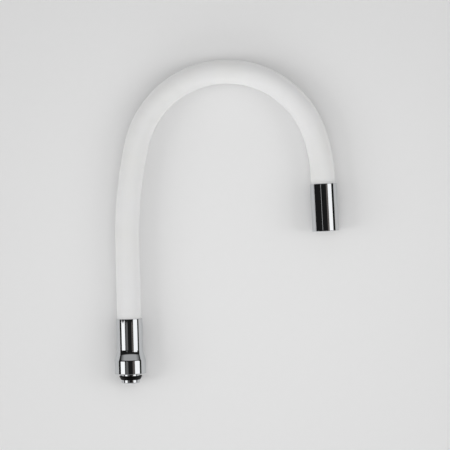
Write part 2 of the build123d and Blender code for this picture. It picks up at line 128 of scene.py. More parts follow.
class RouteSizes(PropertyGroup):
    """Centreline of the neck, in the plane of the arch."""

    rise: length("Rise", "Straight length from the nut's rim up to the first arc", 129.0 * MM)
    lean_radius: length("Lean radius", "Radius of the gentle first arc", 420.0 * MM)
    lean_turn: angle("Lean turn", "Turn of the first arc", 13.7)
    crown_radius: length("Crown radius", "Radius of the arch", 92.6 * MM)
    crown_turn: angle("Crown turn", "Turn of the arch", 148.4)
    tip_radius: length("Tip radius", "Radius of the last arc", 149.0 * MM)
    tip_turn: angle("Tip turn", "Turn of the last arc", 16.4)
    run: length("Run", "Straight length down to the outlet's rim", 56.0 * MM)


class NeckSizes(PropertyGroup):
    """Hose and water tube."""

    hose_diameter: length("Hose diameter", "Outside of the silicone hose", across("silicone_sleeve"))
    hose_bore: length("Hose bore", "Bore of the silicone hose over the coil", 18.0 * MM)
    socket_bore: length("Socket bore", "Wider bore at both ends, over the sockets", 20.1 * MM)
    socket_depth: length("Socket depth", "How far the wider bore goes in", 18.0 * MM)
    tube_diameter: length("Tube diameter", "Outside of the water tube", across("water_tube"))
    tube_bore: length("Tube bore", "Bore of the water tube", 7.0 * MM)
    hose_foot: length("Hose foot", "Height at which the hose starts, above the nut's rim", 28.1 * MM)
    hose_tip: length("Hose tip", "Height at which the hose ends, above the outlet's rim", 27.1 * MM)
    tube_lift: length("Tube lift", "How much further in than the hose the water tube starts", 0.9 * MM)
    ring_step: length("Ring step", "Distance between two rings of the hose's mesh", 1.8 * MM)
    first_reach: length("First reach", "How far below the first joint the neck bends", 12.5 * MM)
    last_reach: length("Last reach", "How far beyond the last joint the neck bends", 7.0 * MM)
    end_round: length("End round", "Round of the edges at the hose's two ends", 0.5 * MM)


class NutSizes(PropertyGroup):
    """Union nut, measured up from its rim."""

    skirt_diameter: length("Skirt diameter", "Outside of the skirt", across("union_nut"))
    skirt_height: length("Skirt height", "Height at which the cone starts", 13.7 * MM)
    cone_height: length("Cone height", "Height of the cone", 8.1 * MM)
    neck_diameter: length("Neck diameter", "Outside above the cone", 26.3 * MM)
    height: length("Height", "Height of the whole nut", along("union_nut")[1])
    neck_bore: length("Neck bore", "Bore that the hose stands in", 24.6 * MM)
    web_foot: length("Web foot", "Height of the web's underside", 12.0 * MM)
    web_top: length("Web top", "Height of the web's top side", 14.5 * MM)
    web_bore: length("Web bore", "Bore of the web round the spigot", 18.7 * MM)
    relief_bore: length("Relief bore", "Bore of the run out above the thread", 26.64 * MM)
    rim_round: length("Rim round", "Round of the skirt's lower edge", 0.6 * MM)
    skirt_round: length("Skirt round", "Round between skirt and cone", 4.0 * MM)
    cone_round: length("Cone round", "Round between cone and neck", 16.0 * MM)
    mouth_round: length("Mouth round", "Round of the neck's upper edge", 0.42 * MM)
    thread_length: length("Thread length", "Height of the threaded bore", 10.0 * MM)
    thread_minor: length("Thread minor", "Diameter at the thread's crests", 24.12 * MM)
    thread_major: length("Thread major", "Diameter at the thread's roots", 26.44 * MM)
    thread_pitch: length("Thread pitch", "Rise of the thread in one turn, 14 to the inch", 25.4 * MM / 14)


class SpigotSizes(PropertyGroup):
    """Inlet spigot and the seal ring on it."""

    diameter: length("Spigot diameter", "Outside of the plain stem", 18.5 * MM)
    bore: length("Spigot bore", "Water way", 13.0 * MM)
    groove: length("Groove diameter", "Bottom of both grooves", 16.8 * MM)
    nose: length("Nose", "Height of the nose's end", along("inlet_spigot")[0])
    ring_foot: length("Ring foot", "Height of the seal ring's foot", along("seal_ring")[0])
    ring_top: length("Ring top", "Height of the seal ring's top", along("seal_ring")[1])
    ring_diameter: length("Ring diameter", "Widest part of the seal ring", across("seal_ring"))
    ring_foot_diameter: length("Ring foot diameter", "Seal ring at its foot", 19.3 * MM)
    ring_shoulder: length("Ring shoulder", "Height of the seal ring's widest part", 0.9 * MM)
    snap_groove_foot: length("Snap groove foot", "Lower side of the snap ring's groove", 9.45 * MM)
    snap_groove_top: length("Snap groove top", "Upper side of the snap ring's groove", 11.25 * MM)
    nose_chamfer: length("Nose chamfer", "Chamfer of the nose's outer edge", 0.8 * MM)
    flange: length("Flange", "Height of the flange's underside", 26.0 * MM)
    flange_thickness: length("Flange thickness", "Height of the flange", 2.0 * MM)
    flange_diameter: length("Flange diameter", "Outside of the flange", across("inlet_spigot"))
    socket_diameter: length("Socket diameter", "Outside of the socket", 20.0 * MM)
    socket_bore: length("Socket bore", "Bore of the socket round the coil", 16.8 * MM)
    socket_length: length("Socket length", "Height of the socket above the flange", 18.0 * MM)
    crimp_bore: length("Crimp bore", "Bore of the socket round the ferrule", 15.2 * MM)
    crimp_room: length("Crimp room", "Height of the room for the ferrule", 10.0 * MM)
    barb_diameter: length("Barb diameter", "Crests of the barb", 6.9 * MM)
    barb_bore: length("Barb bore", "Water way through the barb", 5.2 * MM)
    barb_base: length("Barb base", "How far below the flange the narrow water way starts", 2.0 * MM)
    barb_short: length("Barb short", "How much lower than the ferrule's room the barb ends", 1.0 * MM)
    barb_ring_width: length("Barb ring width", "Height of one ring of the barb", 1.3 * MM)
    barb_ring_depth: length("Barb ring depth", "Depth of the step at each ring", 0.3 * MM)
    barb_rings: IntProperty(name="Barb rings", description="Number of rings on the barb", default=4, min=1)


class OutletSizes(PropertyGroup):
    """Outlet sleeve, measured from its rim up into the hose."""

    diameter: length("Outlet diameter", "Outside of the sleeve", across("outlet_sleeve"))
    sleeve_length: length("Sleeve length", "Length of the sleeve", 47.5 * MM)
    edge_round: length("Edge round", "Round of both outer edges", 0.5 * MM)
    hose_bore: length("Hose bore", "Bore that the hose stands in", 24.6 * MM)
    web_foot: length("Web foot", "Where the inner web starts", 20.0 * MM)
    web_top: length("Web top", "Where the inner web ends", 24.0 * MM)
    web_bore: length("Web bore", "Bore of the web round the adapter", 16.2 * MM)
    chamber: length("Chamber diameter", "Bore of the chamber behind the aerator", 21.2 * MM)
    seat: length("Aerator seat", "Depth of the aerator's seat", 10.9 * MM)
    aerator_bore: length("Aerator bore", "Bore that the aerator is screwed into", 24.1 * MM)
    thread_pitch: length("Aerator pitch", "Rise of the aerator's thread in one turn", 1.0 * MM)
    thread_depth: length("Aerator thread depth", "Depth of the aerator's thread", 0.45 * MM)
    thread_short: length("Thread short", "Plain bore left at both ends of the thread", 0.6 * MM)
    seal_diameter: length("Seal diameter", "Outside of the adapter's seal", 23.0 * MM)
    seal_foot: length("Seal foot", "Where the adapter's seal starts", 24.05 * MM)
    seal_top: length("Seal top", "Where the adapter's seal ends", 24.95 * MM)
    washer_diameter: length("Washer diameter", "Outside of the aerator's washer", 23.5 * MM)
    washer_bore: length("Washer bore", "Hole in the aerator's washer", 18.0 * MM)
    washer_foot: length("Washer foot", "Where the aerator's washer starts", 9.55 * MM)
    washer_top: length("Washer top", "Where the aerator's washer ends", 10.85 * MM)


class SpoutColours(PropertyGroup):
    """Colours of the finishes."""

    chrome: colour("Chrome", "Reflection of the chrome plate", "CFD1D3")
    silicone: colour("Silicone", "The hose where it is clean", "E6E6E6")
    silicone_warm: colour("Warm silicone", "The hose where it has yellowed a little", "E5E5E3")
    rubber: colour("Rubber", "Seal ring and flat seals", "060606")
    steel: colour("Spring steel", "Gooseneck coil, ferrules and screen", "A6A7A4")
    brass: colour("Brass", "Adapter and lock nut", "D2B271")
    nickel: colour("Nickel", "Nickel plate on the aerator's housing", "C3BEB2")
    acetal: colour("Acetal", "Moulded rings and the aerator's insert", "E4E4DE")
    tube: colour("Water tube", "The tube inside the coil", "DCE4E8")
    table: colour("Table", "Board behind the spout", "E9E9E9")


class SpoutSettings(PropertyGroup):
    """All sizes and colours of the spout."""

    segments: IntProperty(
        name="Segments", description="Number of facets round a turned piece", default=192, min=24
    )
    hose_segments: IntProperty(
        name="Hose segments", description="Number of facets round the hose", default=128, min=24
    )
    route: PointerProperty(type=RouteSizes)
    neck: PointerProperty(type=NeckSizes)
    nut: PointerProperty(type=NutSizes)
    spigot: PointerProperty(type=SpigotSizes)
    outlet: PointerProperty(type=OutletSizes)
    colours: PointerProperty(type=SpoutColours)


def settings():
    """The scene's own sizes and colours."""
    return bpy.context.scene.tap_spout


# Shapes


def unit(pairs):
    """Rows of numbers, each divided by its own length."""
    return pairs / np.linalg.norm(pairs, axis=-1, keepdims=True)


def outline(*corners):
    """A closed outline of radius and height, with rounded corners.

    Each corner is (radius, height, round), in order round the outline with the material on the left.
    A round becomes an arc tangent to both sides: it starts round x tan(half the turn) before the
    corner, and its centre lies the round away from the side. Returns points, and the directions in
    which the outline arrives at each point and leaves it.
    """
    places = np.array([corner[:2] for corner in corners], float)
    sides = unit(np.roll(places, -1, 0) - places)
    points, arriving, leaving = [], [], []
    for number, (place, (_, _, rounding)) in enumerate(zip(places, corners)):
        before, after = sides[number - 1], sides[number]
        turn = np.arctan2(before[0] * after[1] - before[1] * after[0], before @ after)
        if rounding == 0 or abs(turn) < 1e-6:
            points.append(place[None])
            arriving.append(before[None])
            leaving.append(after[None])
            continue
        swept = np.linspace(0, turn, 2 + ceil(abs(turn) / ARC_STEP))
        left = np.sign(turn) * np.array([-before[1], before[0]])
        start = place - before * rounding * np.tan(abs(turn) / 2)
        centre = start + left * rounding
        c, s = np.cos(swept)[:, None], np.sin(swept)[:, None]
        across_arc = np.array([-before[1], before[0]])
        headings = before * c + across_arc * s
        spokes = np.stack([headings[:, 1], -headings[:, 0]], 1) * np.sign(turn)
        points.append(centre + spokes * rounding)
        arriving.append(headings)
        leaving.append(headings)
    return np.vstack(points), np.vstack(arriving), np.vstack(leaving)


def divided(shape, step, up_to=np.inf):
    """The same outline, with its sides up to a height cut into equal parts no longer than a step."""
    points, arriving, leaving = shape
    following = np.roll(points, -1, 0)
    whole = np.maximum(points, following)[:, 1] > up_to
    lengths = np.linalg.norm(following - points, axis=1)
    parts = np.where(whole, 1, np.maximum(1, np.ceil(lengths / step))).astype(int)
    owner = np.repeat(np.arange(len(points)), parts)
    first = np.cumsum(parts) - parts
    share = ((np.arange(len(owner)) - first[owner]) / parts[owner])[:, None]
    placed = points[owner] * (1 - share) + following[owner] * share
    onward = np.roll(arriving, -1, 0)
    heading = unit(leaving[owner] * (1 - share) + onward[owner] * share)
    return placed, np.where(share > 0, heading, arriving[owner]), heading


def axis_frames(origin, up):
    """Cross frames of a straight axis: centre = origin + height x up, sides square to it."""

    def place(heights):
        side = np.cross((0.0, 1.0, 0.0), up)
        spread = np.ones_like(heights)[:, None]
        centres = np.array(origin) + heights[:, None] * np.array(up)
        return centres, spread * side, spread * (0.0, 1.0, 0.0), spread * np.array(up)

    return place


def stretches():
    """Length and turn of each part of the centreline, from the nut's rim to the outlet's rim."""
    sizes = settings().route
    return [
        (sizes.rise, 0.0),
        (sizes.lean_radius * sizes.lean_turn, sizes.lean_turn),
        (sizes.crown_radius * sizes.crown_turn, sizes.crown_turn),
        (sizes.tip_radius * sizes.tip_turn, sizes.tip_turn),
        (sizes.run, 0.0),
    ]


def route_length():
    """Length of the whole centreline."""
    return sum(reach for reach, _ in stretches())


def centreline(distances):
    """Place and heading of the neck's centreline, a distance along it from the nut's rim.

    An arc of radius R that starts at heading a adds R(cos a - cos b) to x and R(sin b - sin a) to z
    by the heading b = a + step/R. A straight stretch adds step x (sin a, cos a).
    """
    x = np.zeros_like(distances)
    z = np.zeros_like(distances)
    heading = np.zeros_like(distances)
    start, turned = 0.0, 0.0
    for reach, turn in stretches():
        step = np.clip(distances - start, 0, reach)
        if turn:
            swept = turned + step * turn / reach
            x += reach / turn * (cos(turned) - np.cos(swept))
            z += reach / turn * (np.sin(swept) - sin(turned))
            heading += swept - turned
        else:
            x += step * sin(turned)
            z += step * cos(turned)
        start, turned = start + reach, turned + turn
    return np.stack([x, 0 * x, z], 1), heading


def neck_frames(distances):
    """Cross frames along the centreline: outward side in the arch's plane, side across, direction."""
    centres, heading = centreline(distances)
    nothing = 0 * heading
    sides = np.stack([np.cos(heading), nothing, -np.sin(heading)], 1)
    forward = np.stack([np.sin(heading), nothing, np.cos(heading)], 1)
    return centres, sides, np.stack([nothing, nothing + 1, nothing], 1), forward


def stations():
    """Distance along the centreline of each joint of the neck, by its nearest point."""
    step, tolerance = 0.01 * MM, 0.05 * MM
    grid = np.arange(0, route_length(), step)
    places = centreline(grid)[0]
    found = []
    for joint in NECK_JOINTS:
        gaps = np.linalg.norm(places - np.array(joint["pos_m"]), axis=1)
        if gaps.min() > tolerance:
            raise RuntimeError(f"the joint {joint['name']} isn't on the neck's centreline")
        found.append(float(grid[gaps.argmin()]))
    return found


def thread_surface(minor, depth, pitch, low, high):
    """Radius of an internal thread in angle and height.

    The distance along the pitch, height/pitch - angle/turn, goes through a triangle wave from
    crest to root and back. The wave is cut off at both ends and eased, which rounds crests and
    roots, and it fades in over a third of a pitch at both ends of the thread.
    """

    cut_off = 0.12
    fade_length = pitch / 3

    def radius(angles, heights):
        wave = np.abs(2 * ((heights / pitch - angles / (2 * pi)) % 1.0) - 1)
        wave = np.clip((wave - cut_off) / (1 - 2 * cut_off), 0, 1)
        fade = np.clip(np.minimum(heights - low, high - heights) / fade_length, 0, 1)
        return minor + depth * wave * wave * (3 - 2 * wave) * fade

    return radius


def swept_piece(name, shape, place, look, segments=0, thread=None):
    """A closed outline carried round an axis or a centreline, as one mesh.

    A point at angle a on an outline point (r, h) is centre(h) + r(cos a x side + sin a x other).
    Its normal is the outline's own normal in the same frame. In a threaded bore the radius is the
    larger of the outline's and the thread's, and the normal is that of the surface r = f(a, h):
    minus outward, plus f_a/r round, plus f_h along the axis. The bore is where the outline runs
    down. Each point also keeps its place on the straight piece, which patterns follow.
    """
    points, arriving, leaving = shape
    segments = segments or settings().segments
    angles = np.arange(segments) * 2 * pi / segments
    centres, sides, others, forwards = place(points[:, 1])
    c, s = np.cos(angles)[None, :, None], np.sin(angles)[None, :, None]
    outward = c * sides[:, None] + s * others[:, None]
    round_about = c * others[:, None] - s * sides[:, None]
    radii = np.repeat(points[:, :1], segments, 1)
    heights = np.repeat(points[:, 1:], segments, 1)

    def normals(headings):
        return headings[:, 1, None, None] * outward - headings[:, 0, None, None] * forwards[:, None]

    starts, ends = normals(leaving), normals(arriving)
    if thread:
        surface, low, high, widest = thread
        tiny, falling = 1e-7, -0.3
        leaves_down = (leaving[:, 1] < falling)[:, None]
        arrives_down = (arriving[:, 1] < falling)[:, None]
        about = angles[None]
        bored = surface(about, heights)
        inside = (heights >= low - tiny) & (heights <= high + tiny) & (radii <= widest) & (bored > radii)
        inside &= leaves_down | arrives_down
        by_angle = (surface(about + tiny, heights) - surface(about - tiny, heights)) / (2 * tiny)
        by_height = (surface(about, heights + tiny) - surface(about, heights - tiny)) / (2 * tiny)
        along_axis = by_height[..., None] * forwards[:, None]
        cut = unit((by_angle / bored)[..., None] * round_about - outward + along_axis)
        radii = np.where(inside, bored, radii)
        starts = np.where((inside & leaves_down)[..., None], cut, starts)
        ends = np.where((inside & arrives_down)[..., None], cut, ends)
    vertices = centres[:, None] + radii[..., None] * outward
    straight = np.stack([radii * np.cos(angles), radii * np.sin(angles), heights], -1)

    faces = len(points) * segments
    here = np.arange(faces).reshape(-1, segments)
    onward = np.roll(here, -1, 0)
    corners = np.stack([here, np.roll(here, -1, 1), np.roll(onward, -1, 1), onward], -1)
    ends = np.roll(ends, -1, 0)
    corner_normals = np.stack([starts, np.roll(starts, -1, 1), np.roll(ends, -1, 1), ends], 2)

    mesh = bpy.data.meshes.new(name)
    mesh.vertices.add(faces)
    mesh.vertices.foreach_set("co", vertices.astype(np.float32).ravel())
    mesh.loops.add(4 * faces)
    mesh.loops.foreach_set("vertex_index", corners.astype(np.int32).ravel())
    mesh.polygons.add(faces)
    mesh.polygons.foreach_set("loop_start", np.arange(0, 4 * faces, 4, dtype=np.int32))
    mesh.polygons.foreach_set("use_smooth", np.ones(faces, bool))
    mesh.update(calc_edges=True)
    mesh.normals_split_custom_set(unit(corner_normals).astype(np.float32).reshape(-1, 3))
    unrolled = mesh.attributes.new("straight", "FLOAT_VECTOR", "POINT")
    unrolled.data.foreach_set("vector", straight.astype(np.float32).ravel())
    mesh.materials.append(finish(look))
    piece = bpy.data.objects.new(name, mesh)
    bpy.context.scene.collection.objects.link(piece)
    return piece


# Materials


def put(tree, kind, sockets=(), **options):
    """Adds a node with its options, links or sets its sockets by name or number, gives its outputs."""
    node = tree.nodes.new(kind)
    for name, value in options.items():
        setattr(node, name, value)
    for name, value in dict(sockets).items():
        socket = node.inputs[name]
        if isinstance(value, bpy.types.NodeSocket):
            tree.links.new(value, socket)
        else:
            socket.default_value = value
    return node.outputs


def finish_called(name):
    """A new material of that name without any nodes, and its node tree."""
    material = bpy.data.materials.new(name)
    material.use_nodes = True
    material.node_tree.nodes.clear()
    return material, material.node_tree


def shade(name):
    """One of the settings' colours, opaque."""
    return (*getattr(settings().colours, name), 1.0)


def chrome_plate():
    """Bright chrome over polished brass, machine buffed and then electroplated.

    It mirrors like glass, with the faint waviness that buffing leaves at about 12 mm, and a haze of
    fine wiping marks and fingerprints that only changes the gloss.
    """
    material, tree = finish_called("chrome_plate")
    here = put(tree, "ShaderNodeTexCoord")["Object"]
    waves = put(tree, "ShaderNodeTexNoise", {"Vector": here, "Scale": 1 / (12 * MM), "Detail": 1.0})
    wiping = put(tree, "ShaderNodeMapping", {"Vector": here, "Scale": (1.0, 1.0, 0.12)})
    marks = put(
        tree,
        "ShaderNodeTexNoise",
        {"Vector": wiping[0], "Scale": 1 / (0.9 * MM), "Detail": 4.0, "Roughness": 0.6},
    )
    smears = put(tree, "ShaderNodeTexNoise", {"Vector": here, "Scale": 1 / (9 * MM), "Detail": 3.0})
    haze = put(tree, "ShaderNodeMath", {0: marks[0], 1: smears[0]}, operation="MULTIPLY")
    gloss = put(tree, "ShaderNodeMapRange", {"Value": haze[0], 3: 0.01, 4: 0.055})
    bump = put(tree, "ShaderNodeBump", {"Height": waves[0], "Strength": 0.25, "Distance": 0.012 * MM})
    shader = put(
        tree,
        "ShaderNodeBsdfPrincipled",
        {"Base Color": shade("chrome"), "Metallic": 1.0, "Roughness": gloss[0], "Normal": bump[0]},
    )
    put(tree, "ShaderNodeOutputMaterial", {"Surface": shader[0]})
    return material


def silicone_rubber():
    """Extruded white silicone rubber with a powder matt skin.

    It is dense white and lets a little light in at its edges. Its skin shows the die's faint lines
    along its length, about one to each 1.5 mm round, and a fine grain, and it has yellowed a little
    in patches of some 60 mm. The grain is drawn at 0.35 mm, coarser than the real one, so as to show.
    """
    material, tree = finish_called("silicone_rubber")
    unrolled = put(tree, "ShaderNodeAttribute", attribute_name="straight")["Vector"]
    drawn = put(tree, "ShaderNodeMapping", {"Vector": unrolled, "Scale": (1.0, 1.0, 0.02)})
    lines = put(tree, "ShaderNodeTexNoise", {"Vector": drawn[0], "Scale": 1 / (1.5 * MM), "Detail": 2.0})
    grain = put(tree, "ShaderNodeTexNoise", {"Vector": unrolled, "Scale": 1 / (0.35 * MM), "Detail": 2.0})
    patches = put(tree, "ShaderNodeTexNoise", {"Vector": unrolled, "Scale": 1 / (60 * MM), "Detail": 2.0})
    relief = put(tree, "ShaderNodeMath", {0: lines[0], 1: 0.7, 2: grain[0]}, operation="MULTIPLY_ADD")
    bump = put(tree, "ShaderNodeBump", {"Height": relief[0], "Strength": 0.3, "Distance": 0.03 * MM})
    yellowed = put(tree, "ShaderNodeMapRange", {"Value": patches[0], 1: 0.45, 2: 0.7})
    tone = put(
        tree,
        "ShaderNodeMix",
        {0: yellowed[0], 6: shade("silicone"), 7: shade("silicone_warm")},
        data_type="RGBA",
    )
    gloss = put(tree, "ShaderNodeMapRange", {"Value": patches[0], 3: 0.46, 4: 0.58})
    shader = put(
        tree,
        "ShaderNodeBsdfPrincipled",
        {
            "Base Color": tone[2],
            "Roughness": gloss[0],
            "IOR": 1.41,
            "Subsurface Weight": 0.3,
            "Subsurface Radius": (1.0, 0.97, 0.92),
            "Subsurface Scale": 1.4 * MM,
            "Sheen Weight": 0.35,
            "Sheen Roughness": 0.5,
            "Normal": bump[0],
        },
    )
    put(tree, "ShaderNodeOutputMaterial", {"Surface": shader[0]})
    return material


def moulded_rubber():
    """Moulded nitrile rubber: near black, with a dull shine and the mould's fine spark grain."""
    material, tree = finish_called("nitrile_rubber")
    here = put(tree, "ShaderNodeTexCoord")["Object"]
    grain = put(tree, "ShaderNodeTexNoise", {"Vector": here, "Scale": 1 / (0.25 * MM), "Detail": 3.0})
    bump = put(tree, "ShaderNodeBump", {"Height": grain[0], "Strength": 0.4, "Distance": 0.03 * MM})
    gloss = put(tree, "ShaderNodeMapRange", {"Value": grain[0], 3: 0.45, 4: 0.6})
    shader = put(
        tree,
        "ShaderNodeBsdfPrincipled",
        {
            "Base Color": shade("rubber"),
            "Roughness": gloss[0],
            "IOR": 1.52,
            "Specular IOR Level": 0.2,
            "Normal": bump[0],
        },
    )
    put(tree, "ShaderNodeOutputMaterial", {"Surface": shader[0]})
    return material


def drawn_steel():
    """Hard drawn stainless spring wire: grey, with a satin shine that varies over some 0.3 mm."""
    material, tree = finish_called("drawn_stainless_steel")
    here = put(tree, "ShaderNodeTexCoord")["Object"]
    cloud = put(tree, "ShaderNodeTexNoise", {"Vector": here, "Scale": 1 / (0.3 * MM), "Detail": 3.0})
    gloss = put(tree, "ShaderNodeMapRange", {"Value": cloud[0], 3: 0.22, 4: 0.42})
    shader = put(
        tree,
        "ShaderNodeBsdfPrincipled",
        {"Base Color": shade("steel"), "Metallic": 1.0, "Roughness": gloss[0]},
    )
    put(tree, "ShaderNodeOutputMaterial", {"Surface": shader[0]})
    return material


def turned_metal(name, colour_name, rough_low, rough_high):
    """Metal turned on a lathe: rings about the outlet's axis, which a Mapping node turns to Z.

    A wave texture repeats every tenth of pi of its unit, so the rings are drawn 0.63 mm apart. The
    real ones are finer, about 0.1 mm, and wouldn't show.
    """
    material, tree = finish_called(name)
    here = put(tree, "ShaderNodeTexCoord")["Object"]
    turn = OUTLET_UP.rotation_difference(Vector((0, 0, 1))).to_matrix()
    moved = put(
        tree,
        "ShaderNodeMapping",
        {"Vector": here, "Location": -(turn @ OUTLET_RIM), "Rotation": turn.to_euler()},
        vector_type="POINT",
    )
    rings = put(
        tree,
        "ShaderNodeTexWave",
        {"Vector": moved[0], "Scale": 1 / (2.0 * MM), "Distortion": 0.6, "Detail": 1.0},
        wave_type="BANDS",
        bands_direction="Z",
    )
    cloud = put(tree, "ShaderNodeTexNoise", {"Vector": here, "Scale": 1 / (3 * MM), "Detail": 3.0})
    gloss = put(tree, "ShaderNodeMapRange", {"Value": cloud[0], 3: rough_low, 4: rough_high})
    bump = put(tree, "ShaderNodeBump", {"Height": rings[1], "Strength": 0.15, "Distance": 0.02 * MM})
    shader = put(
        tree,
        "ShaderNodeBsdfPrincipled",
        {"Base Color": shade(colour_name), "Metallic": 1.0, "Roughness": gloss[0], "Normal": bump[0]},
    )
    put(tree, "ShaderNodeOutputMaterial", {"Surface": shader[0]})
    return material


def moulded_acetal():
    """Injection moulded acetal: milky white and waxy, with a soft even shine."""
    material, tree = finish_called("moulded_acetal")
    here = put(tree, "ShaderNodeTexCoord")["Object"]
    cloud = put(tree, "ShaderNodeTexNoise", {"Vector": here, "Scale": 1 / (2 * MM), "Detail": 3.0})
    gloss = put(tree, "ShaderNodeMapRange", {"Value": cloud[0], 3: 0.3, 4: 0.42})
    shader = put(
        tree,
        "ShaderNodeBsdfPrincipled",
        {
            "Base Color": shade("acetal"),
            "Roughness": gloss[0],
            "IOR": 1.48,
            "Subsurface Weight": 0.2,
            "Subsurface Radius": (1.0, 1.0, 1.0),
            "Subsurface Scale": 0.8 * MM,
        },
    )
    put(tree, "ShaderNodeOutputMaterial", {"Surface": shader[0]})
    return material


def extruded_tube():
    """Extruded polyethylene water tube: cloudy, bluish white and smooth, with the die's faint lines."""
    material, tree = finish_called("polyethylene_tube")
    unrolled = put(tree, "ShaderNodeAttribute", attribute_name="straight")["Vector"]
    drawn = put(tree, "ShaderNodeMapping", {"Vector": unrolled, "Scale": (1.0, 1.0, 0.02)})
    lines = put(tree, "ShaderNodeTexNoise", {"Vector": drawn[0], "Scale": 1 / (0.8 * MM), "Detail": 2.0})
    gloss = put(tree, "ShaderNodeMapRange", {"Value": lines[0], 3: 0.25, 4: 0.4})
    shader = put(
        tree,
        "ShaderNodeBsdfPrincipled",
        {
            "Base Color": shade("tube"),
            "Roughness": gloss[0],
            "IOR": 1.51,
            "Subsurface Weight": 0.4,
            "Subsurface Radius": (1.0, 1.0, 1.0),
            "Subsurface Scale": 1.5 * MM,
        },
    )
    put(tree, "ShaderNodeOutputMaterial", {"Surface": shader[0]})
    return material


def painted_board():
    """White painted board: matt, with a paint roller's faint mottling at 8 mm.

    It is seen from the front alone, so that a view from behind still shows the spout.
    """
    material, tree = finish_called("painted_board")
    here = put(tree, "ShaderNodeTexCoord")["Object"]
    mottling = put(tree, "ShaderNodeTexNoise", {"Vector": here, "Scale": 1 / (8 * MM), "Detail": 4.0})
    dark = (*[part * 0.985 for part in settings().colours.table], 1.0)
    tone = put(tree, "ShaderNodeMix", {0: mottling[0], 6: shade("table"), 7: dark}, data_type="RGBA")
    paint = put(
        tree,
        "ShaderNodeBsdfPrincipled",
        {"Base Color": tone[2], "Roughness": 0.9, "Specular IOR Level": 0.1},
    )
    clear = put(tree, "ShaderNodeBsdfTransparent")
    behind = put(tree, "ShaderNodeNewGeometry")["Backfacing"]
    shader = put(tree, "ShaderNodeMixShader", {0: behind, 1: paint[0], 2: clear[0]})
    put(tree, "ShaderNodeOutputMaterial", {"Surface": shader[0]})
    return material


FINISHES = {}


def finish(name):
    """The material of that name, made when it is first asked for."""
    makers = {
        "chrome": chrome_plate,
        "silicone": silicone_rubber,
        "rubber": moulded_rubber,
        "steel": drawn_steel,
        "brass": lambda: turned_metal("turned_brass", "brass", 0.16, 0.34),
        "nickel": lambda: turned_metal("nickel_plated_brass", "nickel", 0.12, 0.3),
        "acetal": moulded_acetal,
        "tube": extruded_tube,
        "table": painted_board,
    }
    if name not in FINISHES:
        FINISHES[name] = makers[name]()
    return FINISHES[name]


# Operators


class SPOUT_OT_union_nut(Operator):
    """Turn the union nut, with a rounded bell outside and a cut pipe thread inside"""

    bl_idname = "spout.union_nut"
    bl_label = "Union nut"

    def execute(self, context):
        sizes = settings().nut
        neck = sizes.neck_diameter / 2
        skirt = sizes.skirt_diameter / 2
        crest = sizes.thread_minor / 2
        root = sizes.thread_major / 2
        cone_top = sizes.skirt_height + sizes.cone_height
        shape = outline(
            (root, 0, 0.15 * MM),
            (skirt, 0, sizes.rim_round),
            (skirt, sizes.skirt_height, sizes.skirt_round),
            (neck, cone_top, sizes.cone_round),
            (neck, sizes.height, sizes.mouth_round),
            (sizes.neck_bore / 2, sizes.height, 0.3 * MM),
            (sizes.neck_bore / 2, sizes.web_top, 0.5 * MM),
            (sizes.web_bore / 2, sizes.web_top, 0.2 * MM),
            (sizes.web_bore / 2, sizes.web_foot, 0.2 * MM),
            (sizes.relief_bore / 2, sizes.web_foot, 0.3 * MM),
            (sizes.relief_bore / 2, sizes.thread_length, 0),
            (crest, sizes.thread_length, 0),
            (crest, root - crest, 0),
        )
        surface = thread_surface(
            crest, root - crest, sizes.thread_pitch, -sizes.thread_pitch, sizes.thread_length
        )
        nut = swept_piece(
            "union_nut_plated",
            divided(shape, NUT_THREAD_STEP, sizes.thread_length),
            axis_frames((0, 0, 0), INLET_UP),
            "chrome",
            thread=(surface, 0, sizes.thread_length, root),
        )
        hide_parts("union_nut")
        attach(nut, "union_nut")
        return {"FINISHED"}


